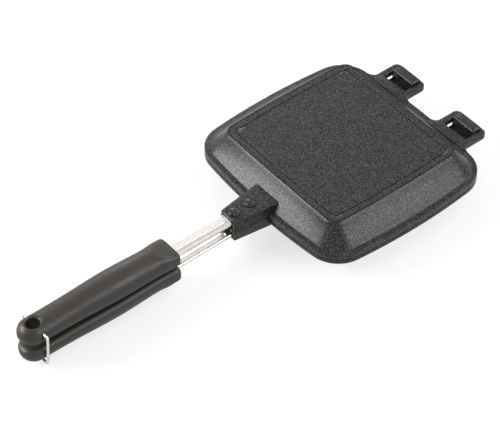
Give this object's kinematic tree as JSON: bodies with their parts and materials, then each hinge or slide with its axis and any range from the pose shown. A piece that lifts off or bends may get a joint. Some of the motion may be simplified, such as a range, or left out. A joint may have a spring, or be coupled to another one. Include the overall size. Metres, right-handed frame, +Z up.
{
  "type": "hinged hot-sandwich pie iron",
  "caption": "Square two-pan pie iron for toasting a filled sandwich over a flame, with hooked hinge, channel shanks, moulded grips and a wire closing clip.",
  "frame": {"origin": "middle of the lower pan's flat base, on the surface it rests on", "axes": "+Z up out of the base, +Y from the grips towards the hinge, +X across the pan"},
  "size_m": [0.15, 0.3437, 0.036],
  "materials": {
    "cast_coat": "die-cast, dark non-stick coat with a fine sparkle",
    "shank_metal": "drawn sheet, bright satin",
    "grip_resin": "moulded phenolic, satin",
    "clip_wire": "bright spring wire",
    "screw_steel": "zinc plated"
  },
  "bodies": {
    "lower_half": {"lower_pan": "cast_coat", "lower_shank": "shank_metal", "lower_rivet_front": "cast_coat", "lower_rivet_rear": "cast_coat", "lower_grip": "grip_resin", "lower_grip_screw": "screw_steel"},
    "upper_half": {"upper_pan": "cast_coat", "upper_shank": "shank_metal", "upper_rivet_front": "cast_coat", "upper_rivet_rear": "cast_coat", "upper_grip": "grip_resin", "upper_grip_screw": "screw_steel"},
    "clip": {"wire_clip": "clip_wire"}
  },
  "joints": [
    {"name": "lid_hinge", "type": "hinge", "parent": "lower_half", "child": "upper_half", "pos_m": [0, 0.0874, 0.02015], "axis": [-1, 0, 0], "range_deg": [0, 110]},
    {"name": "clip_pivot", "type": "hinge", "parent": "upper_half", "child": "clip", "pos_m": [0, -0.2422, 0.0278], "axis": [-1, 0, 0], "range_deg": [0, 253]}
  ]
}
